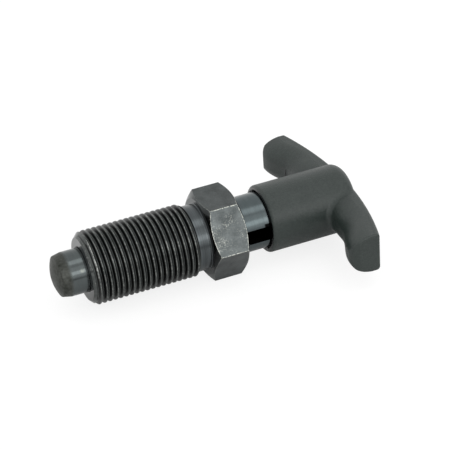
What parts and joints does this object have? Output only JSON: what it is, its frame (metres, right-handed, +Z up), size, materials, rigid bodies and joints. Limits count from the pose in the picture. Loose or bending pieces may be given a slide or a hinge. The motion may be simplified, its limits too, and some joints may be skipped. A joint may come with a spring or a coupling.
{
  "type": "indexing plunger",
  "caption": "Spring-loaded indexing plunger: threaded guide body with hexagon collar, domed locking pin and a T-handle that can be pulled and parked.",
  "frame": {"origin": "centre of the hexagon collar's front face, on the plunger's axis", "axes": "+X along the axis from the locking pin to the handle, +Z up from the hexagon flat that it lies on, the handle's wings along +Y and -Y"},
  "size_m": [0.0845, 0.0586, 0.0218],
  "materials": {
    "blackened_steel": "blackened, satin",
    "pin_steel": "hardened and ground, dark nose",
    "spring_steel": "drawn wire, oiled",
    "dowel_steel": "ground",
    "bush_steel": "turned",
    "handle_plastic": "finely textured, matt"
  },
  "bodies": {
    "guide": {"guide_body": "blackened_steel", "compression_spring": "spring_steel"},
    "plunger": {"locking_pin": "pin_steel", "cross_pin": "dowel_steel", "handle_bush": "bush_steel", "t_handle": "handle_plastic"}
  },
  "joints": [
    {"name": "pull", "type": "slide", "parent": "guide", "child": "plunger", "axis": [1, 0, 0], "range_m": [0, 0.01], "stiffness_N_per_m": 3200, "springref_m": -0.004, "deforming": ["compression_spring"]}
  ]
}
